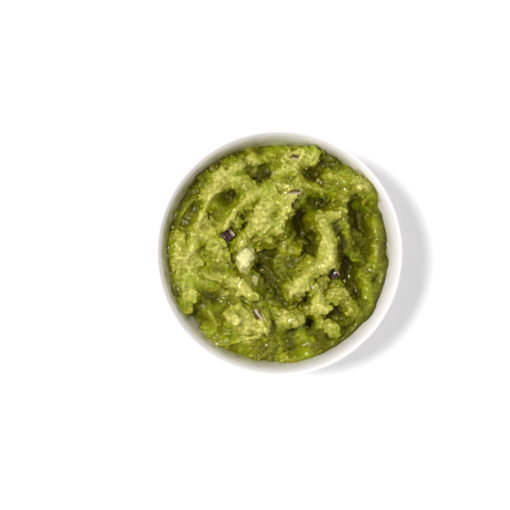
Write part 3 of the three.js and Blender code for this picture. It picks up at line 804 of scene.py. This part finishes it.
def random_turn():
    """An even random rotation as a 3 by 3 matrix."""
    q = rng.normal(size=4)
    w, x, y, z = q / np.linalg.norm(q)
    return np.array([[1 - 2 * (y * y + z * z), 2 * (x * y - z * w), 2 * (x * z + y * w)],
                     [2 * (x * y + z * w), 1 - 2 * (x * x + z * z), 2 * (y * z - x * w)],
                     [2 * (x * z - y * w), 2 * (y * z + x * w), 1 - 2 * (x * x + y * y)]])


def scatter(field, count, small, large, sink, blend, dents, crumbly):
    """Lumps, and some dents, over the surface: one row of SCATTERED."""
    edge = (field.value[:, :, :-1] < 0) & (field.value[:, :, 1:] >= 0)
    spots = field.corner + field.step * np.argwhere(edge)
    spots = spots[np.hypot(spots[:, 0], spots[:, 1]) < inner_radius(spots[:, 2]) + 1]
    spots = spots[rng.random(len(spots)) > crumbly * coverage(SMOOTH_AREAS, spots[:, 0], spots[:, 1])]
    for spot in spots[rng.choice(len(spots), count, replace=False)]:
        size = small * (large / small) ** rng.random()
        radii = size * rng.uniform(*LUMP_SHAPE, 3)
        dent = rng.random() < dents
        middle = spot + [0, 0, (DENT_RISE if dent else -sink) * size]
        (field.cut if dent else field.add)(*field.ball(middle, radii, random_turn()), blend)


def space_above(field, middle, axes, half):
    """The part of the grid round and above a piece, and its places along X, Y and Z and along the piece."""
    reach = half[0] + 2
    part = field.window(middle - reach, middle + (reach, reach, 3 * reach))
    away = [field.places[a][part] - middle[a] for a in range(3)]
    return part, away, along_axes(away, axes)


def clear_above(field, name, bare):
    """Takes away the mash that would hide a piece of onion, over a share of its half sizes."""
    middle, axes, half = lie_of(name)
    part, _, along = space_above(field, middle, axes, half)
    beside = np.maximum(*(np.abs(d) - h for d, h in zip(along[:2], half[:2] * bare)))
    shape = np.maximum(beside + 0.2, half[2] * 0.2 - along[2])
    field.cut(part, shape.astype(np.float32), 0.5)


def lay_open(field, name):
    """Takes away the mash over a chunk's upper half."""
    middle, axes, half = lie_of(name)
    part, away, (u, v, _) = space_above(field, middle + RAISED[name], axes, half)
    beside = (np.hypot(u / half[0], v / half[1]) - RAISED_BARE) * half[1]
    field.cut(part, np.maximum(beside, -away[2]).astype(np.float32), 1.0)


def shape_mash(field, heap, x, y):
    """Fills in the field of the mash: the heap with its lumps, cut off just inside the bowl's wall."""
    level = field.axes[2][None, None, :]
    slope_x, slope_y = np.gradient(heap, STEP)
    steep = np.sqrt(1 + slope_x**2 + slope_y**2)
    field.value = ((level - heap[:, :, None]) / steep[:, :, None]).astype(np.float32)
    for x0, y0, lift, rx, ry, rz, turn in LUMPS:
        i, j = field.column(x0, y0)
        field.add(*field.ball((x0, y0, heap[i, j] + lift), (rx, ry, rz), turned(turn)), LUMP_BLEND)
    for name in CHUNK_NODES:
        middle, axes, half = lie_of(name)
        bed = field.ball(middle - (0, 0, CHUNK_BED * half[2]), half * CHUNK_BED_SPREAD, axes.T)
        field.add(*bed, CHUNK_BLEND)
    for lumps in SCATTERED:
        scatter(field, *lumps)
    fine = (1 - SMOOTHING * coverage(SMOOTH_AREAS, x, y))[:, :, None]
    for depth, size in FINE_RELIEF:
        field.value -= (depth * fine * smooth_noise(field.shape, size / STEP)).astype(np.float32)
    wall = (np.hypot(x, y)[:, :, None] - inner_radius(level) - INTO_WALL) * math.cos(WALL_LEAN)
    field.value = np.maximum(field.value, np.where(level > WALL_TOP, -9, wall).astype(np.float32))
    for name in ONION_NODES:
        if name not in INNER_SIDE_UP:
            clear_above(field, name, DICE_BARE if name in DICE else SLIVER_BARE)
    for name in RAISED:
        lay_open(field, name)


def mash_layers(field, heap, points):
    """How pale, how deep in colour and how smooth the mash is at each point, with painted shade in its
    hollows, cracks and by the wall and painted highlight on its crowns.
    """
    coarse, near = (field.at(points, box_blur(field.value, reach)) for reach in (COARSE_REACH, NEAR_REACH))
    swell = heap - box_blur(box_blur(heap.astype(np.float32), SWELL_REACH), SWELL_REACH)
    i, j = np.clip(np.round((points[:, :2] - field.corner[:2]) / STEP).astype(int), 0, len(heap) - 1).T
    pale, dark_and_painted_shade, smooth = (coverage(areas, points[:, 0], points[:, 1])
                          for areas in (PALE_AND_PAINTED_LIGHT_AREAS, DARK_AND_PAINTED_SHADE_AREAS, SMOOTH_AREAS))
    to_wall = inner_radius(points[:, 2]) - np.hypot(points[:, 0], points[:, 1])
    by_wall = np.exp(-(to_wall / WALL_SHADE) ** 2)
    broad = np.clip(to_wall / 8, 0, 1) * (0.10 * coarse + 0.075 * swell[i, j])
    # Crowns and pale areas are pale, partly painted highlight. Hollows and dark areas are deep olive,
    # partly their own colour and partly painted shade, and the mash by the wall is painted shade.
    crowns = 0.42 * pale + 0.5 * near + broad - 0.4 * dark_and_painted_shade - 0.2 * smooth - 0.04
    hollows = 0.86 * dark_and_painted_shade + 0.45 * by_wall - 0.22 * near - 2 * broad - 0.14
    return {"pale": np.clip(crowns, 0, 1), "deep": np.clip(hollows, 0, 1), "smoothed": smooth}


def build_guacamole():
    """The mash as one piece. Gives back its field, which the small bits are laid on."""
    field = Field((-REACH, -REACH, FOOD_LOW), (REACH, REACH, FOOD_HIGH), STEP, warp=0.6, warp_size=2.4)
    xs, ys, zs = field.axes
    x, y = np.meshgrid(xs, ys, indexing="ij")
    heap = height_map(xs, ys) + spoon_relief(x, y)
    to_wall = np.maximum(inner_radius(heap) - np.hypot(x, y), 0)
    heap = heap - EDGE_DROP * np.clip(1 - to_wall / EDGE_ROUND, 0, 1) ** 2
    shape_mash(field, heap, x, y)
    points, faces = largest_piece(*surface(field, zs > heap[:, :, None] - SKIN_DEPTH))
    points, faces = closed_below(points, faces, (0, 0, FOOD_LOW))
    piece = make_piece("guacamole_mash", points, faces, "guacamole", mash, ["guacamole"],
                       **mash_layers(field, heap, points))
    thin_out(piece, MASH_TRIANGLES)
    return field


# ---- What lies in the mash. The large pieces take their places and sizes from their CAD solids.
def lie_of(name):
    """A CAD solid's middle, lifted with the mash under it, its axes, longest first, and its half sizes."""
    places = cad_points(name)
    middle = (places.min(0) + places.max(0)) / 2
    axes = np.linalg.svd(places - places.mean(0), full_matrices=False)[2]
    if axes[2, 2] < 0:
        axes[2] *= -1
    axes[1] = np.cross(axes[2], axes[0])
    along = (places - middle) @ axes.T
    middle = middle + ((along.max(0) + along.min(0)) / 2) @ axes
    middle[2] += spoon_relief(middle[:1], middle[1:2])[0]
    return middle, axes, (along.max(0) - along.min(0)) / 2


def own_field(middle, axes, half, step, warp, warp_size):
    """An empty field round a piece, and where its points are along the piece's axes."""
    reach = np.abs(axes.T) @ half + 2.4
    field = Field(middle - reach, middle + reach, step, warp, warp_size)
    return field, along_axes([field.places[a] - middle[a] for a in range(3)], axes)


PALENESS = {"avocado_chunk_1": 1.05, "avocado_chunk_2": 0.25, "avocado_chunk_6": 0.0}
USUAL_PALENESS = 0.12
RAISED_FADING = 0.8  # by which a chunk is less pale where it is sunk
USUAL_FADING = 0.45
RAISED_ROUNDING = 1.5
USUAL_ROUNDING = 0.7
CHUNK_STEP = 0.34
CHUNK_CORNERS = 1.15  # the size of the ellipsoid that the breaks cut down, over the chunk's
BREAKS = 15
BREAK_TILT = 0.3
BREAK_DEPTH = 0.88, 1.06
TORN_RELIEF = (2.8, 0.5), (1.5, 0.35), (0.9, 0.18)  # size and depth
FIRST_CHUNK_SEED = 40


def build_chunk(name):
    """A chunk of avocado with flat breaks on every side and torn edges, greener low down."""
    middle, axes, half = lie_of(name)
    rounding, fading = USUAL_ROUNDING, USUAL_FADING
    if name in RAISED:
        middle, half = middle + RAISED[name], half * RAISED_SPREAD
        rounding, fading = RAISED_ROUNDING, RAISED_FADING
    field, along = own_field(middle, axes, half, CHUNK_STEP, warp=0.7, warp_size=2.2)
    near = np.sqrt(sum((d / (h * CHUNK_CORNERS)) ** 2 for d, h in zip(along, half)))
    field.value = ((near - 1) * half.min()).astype(np.float32)
    for k in range(BREAKS):
        # The breaks face evenly spread ways, each a little off.
        up = 1 - 2 * (k + 0.5) / BREAKS
        turn = k * math.pi * (3 - math.sqrt(5))
        way = np.array([math.cos(turn) * math.sqrt(1 - up**2), math.sin(turn) * math.sqrt(1 - up**2), up])
        way += rng.uniform(-BREAK_TILT, BREAK_TILT, 3)
        way /= np.linalg.norm(way)
        depth = np.linalg.norm(half * way) * rng.uniform(*BREAK_DEPTH)
        beyond = depth - sum(w * d for w, d in zip(way, along))
        field.cut(..., beyond.astype(np.float32), rounding)
    for size, depth in TORN_RELIEF:
        field.value -= (depth * smooth_noise(field.shape, size / field.step)).astype(np.float32)
    points, faces = largest_piece(*surface(field))
    sunk = np.clip((middle[2] + 0.35 * half[2] - points[:, 2]) / half[2], 0, 1)
    if name in RAISED:
        # Its cream middle turns green towards its sides.
        u, v = ((points - middle) @ axes[:2].T / half[:2]).T
        sunk = np.maximum(sunk, np.clip(2.2 * np.hypot(u, v) - 0.8, 0, 0.7))
    # The chunk's crowns are paler and its creases darker: painted highlight and painted shade.
    near = field.at(points, box_blur(field.value, NEAR_REACH))
    pale = PALENESS.get(name, USUAL_PALENESS) - fading * sunk + 0.3 * near
    make_piece(name + "_flesh", points, faces, "avocado", flesh if name in RAISED else bedded_flesh, [name],
               smoothed=np.zeros(len(points)), pale=np.clip(pale, 0, 1),
               deep=np.clip(0.35 * sunk - 0.4 * near - 0.1, 0, 0.8))


LAYER_RADIUS = 14.0
SKIN = 0.45
SKIN_FADE = 0.3
BARE_EDGES = {"onion_piece_1": 1.7}
USUAL_BARE_EDGE = 0.5
PAINTED_HIGHLIGHT_STREAK_SPACING = 1.7
PAINTED_HIGHLIGHT_STREAK_STRENGTH = 0.17
SUNK_SMEAR = 0.8
DICE_SMEAR = 0.04
SLIVER_SMEAR = 0.25
BIT_SMEAR = 0.7
BIT_SKIN = 0.6
TIPPING = 25  # degrees by which small bits are tipped at most


def onion_slab(middle, axes, half, bare=USUAL_BARE_EDGE, step=0.18):
    """Points and faces of a cut bit of onion layer, and how far each point shows its purple skin, which is
    paler along painted highlight streaks.
    """
    field, (u, v, w) = own_field(middle, axes, half, step, warp=0.16, warp_size=1.2)
    w = w + (u**2 + v**2) / (2 * LAYER_RADIUS) - (half[0] ** 2 + half[1] ** 2) / (6 * LAYER_RADIUS)
    ease = 0.28 * half[2] + 0.1
    beyond = [np.abs(d) - (h - ease) for d, h in zip((u, v, w), half)]
    outside = np.sqrt(sum(np.maximum(d, 0) ** 2 for d in beyond))
    inside = np.minimum(np.maximum(np.maximum(*beyond[:2]), beyond[2]), 0)
    field.value = (outside + inside - ease).astype(np.float32)
    field.value -= 0.05 * smooth_noise(field.shape, 0.7 / step)
    points, faces = largest_piece(*surface(field))
    skin = np.clip((field.at(points, w) - (half[2] - SKIN)) / SKIN_FADE, 0, 1)
    across, along = field.at(points, v), field.at(points, u)
    # The cut edge towards the upper right shows bare flesh.
    leaning = axes[:2, 0] + axes[:2, 1]
    k = np.abs(leaning).argmax()
    towards = (along, across)[k] * np.sign(leaning[k])
    bare_edge = np.clip((towards - half[k] + bare) / SKIN_FADE, 0, 1)
    # Paler streaks across the skin are painted highlights.
    waves = np.sin(2 * math.pi * across / PAINTED_HIGHLIGHT_STREAK_SPACING + 0.6 * along)
    painted_highlight_streaks = PAINTED_HIGHLIGHT_STREAK_STRENGTH * np.maximum(waves, 0) ** 3
    return points, faces, skin * (1 - 0.95 * bare_edge - painted_highlight_streaks * (1 - bare_edge))


def build_onion(name):
    """A die or sliver of red onion, more smeared with mash where it is half sunk."""
    middle, axes, half = lie_of(name)
    points, faces, skin = onion_slab(middle, axes, half, BARE_EDGES.get(name, USUAL_BARE_EDGE))
    sunk = name in INNER_SIDE_UP
    smeared = SUNK_SMEAR if sunk else DICE_SMEAR if name in DICE else SLIVER_SMEAR
    make_piece(name + "_layer", points, faces, "red_onion", onion, [name], skin=skin * (not sunk),
               smeared=np.full(len(points), smeared))


# Small bits: X, Y, length, width, thickness, and turn about Z in degrees.
ONION_BITS = [
    (-6.5, 19.5, 2.6, 1.8, 0.8, 60), (-2.6, 38, 3.2, 1.6, 0.9, 70), (20, 35, 3.0, 1.8, 0.8, -20),
    (-27, -20.5, 2.0, 1.4, 0.8, 30), (29.0, 7, 2.0, 1.1, 0.7, 80), (32, -14, 2.2, 1.6, 0.8, 10),
    (-8.5, -8.5, 2.0, 1.2, 0.6, 20), (14, 41.5, 2.4, 1.2, 0.7, 40), (6.8, -7.2, 1.8, 1.2, 0.7, -30),
    (-20, -38, 2.6, 1.4, 0.7, -10), (3.5, 29, 2.0, 1.2, 0.6, 0),
]
LEAF_BITS = [
    (-34, 18.5, 2.2, 1.2, 0.5, 50), (41, -5.5, 1.8, 1.2, 0.5, 20), (42, -8, 1.6, 1.0, 0.5, 70),
    (-39, 27, 1.6, 1.0, 0.5, -40), (-31, -39.5, 1.6, 1.0, 0.5, 10), (5, -26, 1.2, 0.9, 0.4, 30),
    (15, 24, 1.4, 0.9, 0.4, 60), (-12, -24, 1.3, 0.9, 0.4, -20),
]


def build_bits(name, bits, slot, material, food, sink):
    """Small slabs pressed into the mash, each tipped a little its own way."""
    meshes = []
    for x, y, length, width, thickness, turn in bits:
        i, j = food.column(x, y)
        top = food.axes[2][np.nonzero(food.value[i, j] < 0)[0].max()]
        about_x, about_y = rng.uniform(-TIPPING, TIPPING, 2)
        tip = turned(turn) @ (turned(about_y, 1) @ turned(about_x, 0))
        half = np.array([length, width, thickness]) / 2
        meshes.append(onion_slab(np.array([x, y, top - sink * thickness]), tip.T, half, step=0.14))
    points, faces, skin = zip(*meshes)
    starts = np.cumsum([0] + [len(bit) for bit in points[:-1]])
    points, skin = np.concatenate(points), np.concatenate(skin)
    faces = np.concatenate([bit + start for bit, start in zip(faces, starts)])
    make_piece(name, points, faces, slot, material, skin=skin * BIT_SKIN,
               smeared=np.full(len(points), BIT_SMEAR))


# ---- Floor, light and camera
FLOOR_REACH = 2.0  # in metres


def build_stage():
    mesh = bpy.data.meshes.new("floor")
    corners = [(x * FLOOR_REACH, y * FLOOR_REACH, 0) for x, y in ((-1, -1), (1, -1), (1, 1), (-1, 1))]
    mesh.from_pydata(corners, [], [(0, 1, 2, 3)])
    floor = bpy.data.objects.new("floor", mesh)
    bpy.context.scene.collection.objects.link(floor)
    s = Shader("studio_floor", Roughness=0.9, Emission_Color=(1, 1, 1, 1), Emission_Strength=0.05)
    s.colour(s.mix(s.noise(8, 2), *FLOOR_WHITES))
    floor.data.materials.append(s.material)


# How the sky's light grows with height, and is dimmed overhead: two heights and the strength at each.
SKY_RAMPS = ("LINEAR", 0.0, 1.0, 0.22, 0.70), ("SMOOTHSTEP", 0.75, 1.0, 1.0, 0.12)


def build_sun(name, energy, spread, azimuth, elevation):
    """A lamp far off, from angles in degrees. The wider its spread, the softer its shadows."""
    sun = bpy.data.lights.new(name, "SUN")
    sun.energy = energy
    sun.angle = math.radians(spread)
    lamp = bpy.data.objects.new(name, sun)
    round_z, up = math.radians(azimuth), math.radians(elevation)
    towards = Vector((math.cos(round_z) * math.cos(up), math.sin(round_z) * math.cos(up), math.sin(up)))
    lamp.rotation_euler = towards.to_track_quat("Z", "Y").to_euler()
    bpy.context.scene.collection.objects.link(lamp)


def build_sky():
    """Soft light from all round, stronger from higher up but dimmed straight above, over the camera."""
    world = bpy.data.worlds.new("studio")
    world.use_nodes = True
    nodes, links = world.node_tree.nodes, world.node_tree.links
    split, light = nodes.new("ShaderNodeSeparateXYZ"), nodes.new("ShaderNodeMath")
    links.new(nodes.new("ShaderNodeTexCoord").outputs["Generated"], split.inputs[0])
    light.operation = "MULTIPLY"
    for socket, (easing, *ends) in zip(light.inputs, SKY_RAMPS):
        ramp = nodes.new("ShaderNodeMapRange")
        ramp.interpolation_type = easing
        for key, value in zip(("From Min", "From Max", "To Min", "To Max"), ends):
            ramp.inputs[key].default_value = value
        links.new(split.outputs["Z"], ramp.inputs["Value"])
        links.new(ramp.outputs[0], socket)
    links.new(light.outputs[0], nodes["Background"].inputs["Strength"])
    nodes["Background"].inputs["Color"].default_value = (1, 1, 1, 1)
    bpy.context.scene.world = world


def build_lights():
    build_sun("key", energy=2.15, spread=16, azimuth=169, elevation=63)
    build_sun("fill", energy=0.42, spread=50, azimuth=0, elevation=35)
    build_sky()
    view = bpy.context.scene.view_settings
    view.view_transform = "Standard"
    view.look = "Medium High Contrast"


CAMERA_HEIGHT = 0.80  # in metres above the rim
VIEW_WIDTH = 247.6 * MM
VIEW_MIDDLE = (-11.5 * MM, -1.0 * MM)


def build_camera():
    camera = bpy.data.cameras.new("camera")
    camera.sensor_width = 36
    rim = (RIM_HEIGHT - LIP_RADIUS) * MM
    camera.lens = camera.sensor_width * CAMERA_HEIGHT / VIEW_WIDTH
    eye = bpy.data.objects.new("camera", camera)
    eye.location = (*VIEW_MIDDLE, rim + CAMERA_HEIGHT)
    bpy.context.scene.collection.objects.link(eye)
    bpy.context.scene.camera = eye


build_camera()
build_stage()
build_lights()
mash = avocado_shader("guacamole_mash", 1.0, PALE_FLESH)
flesh = avocado_shader("avocado_flesh", 1.3, CREAM_FLESH)
bedded_flesh = avocado_shader("bedded_avocado_flesh", 1.05, PALE_FLESH)
onion, leaf = onion_material(), herb_material()
build_bowl()
food = build_guacamole()
for number, node in enumerate(CHUNK_NODES):
    reseed(FIRST_CHUNK_SEED + number)
    build_chunk(node)
for node in ONION_NODES:
    build_onion(node)
build_bits("onion_bits", ONION_BITS, "red_onion", onion, food, sink=0.1)
build_bits("coriander_bits", LEAF_BITS, "guacamole", leaf, food, sink=0.0)
